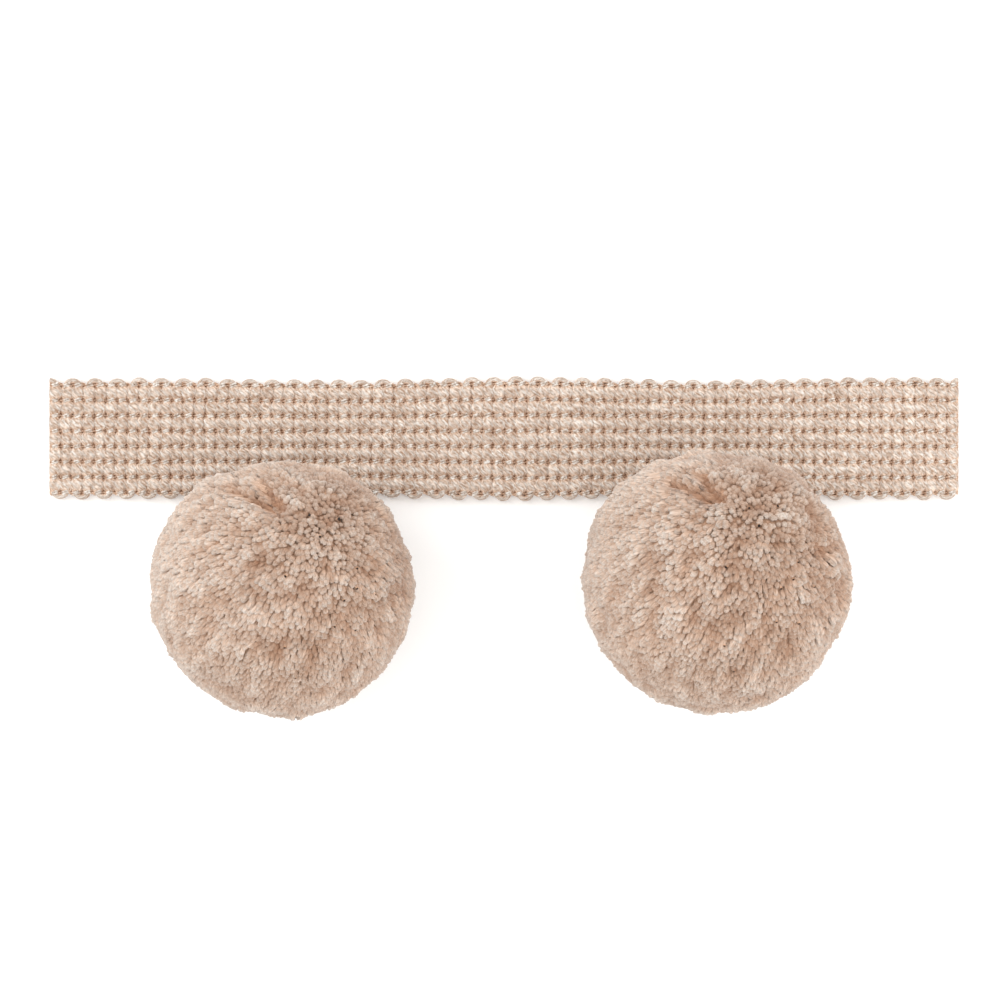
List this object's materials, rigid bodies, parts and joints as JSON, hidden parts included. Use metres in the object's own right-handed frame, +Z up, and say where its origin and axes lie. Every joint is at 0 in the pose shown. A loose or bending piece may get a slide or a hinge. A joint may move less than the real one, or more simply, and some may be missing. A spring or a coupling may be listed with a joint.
{
  "type": "pompom fringe trim",
  "caption": "Cut length of ribbed crochet braid with round cut-pile yarn pompoms along one edge, for trimming curtains, cushions and throws.",
  "frame": {"origin": "middle of the whole outline seen from above, on the surface that the trim lies on", "axes": "+X along the braid, +Y across it from the pompoms to its plain edge, +Z up from the surface, out of the trim's face"},
  "size_m": [0.1394, 0.0524, 0.0385],
  "materials": {
    "braid_yarn": "matte crochet braid in beige yarn",
    "pompom_yarn": "matte cut pile in beige yarn"
  },
  "bodies": {
    "root": {"braid": "braid_yarn", "pompom_left": "pompom_yarn", "pompom_right": "pompom_yarn"}
  },
  "joints": []
}
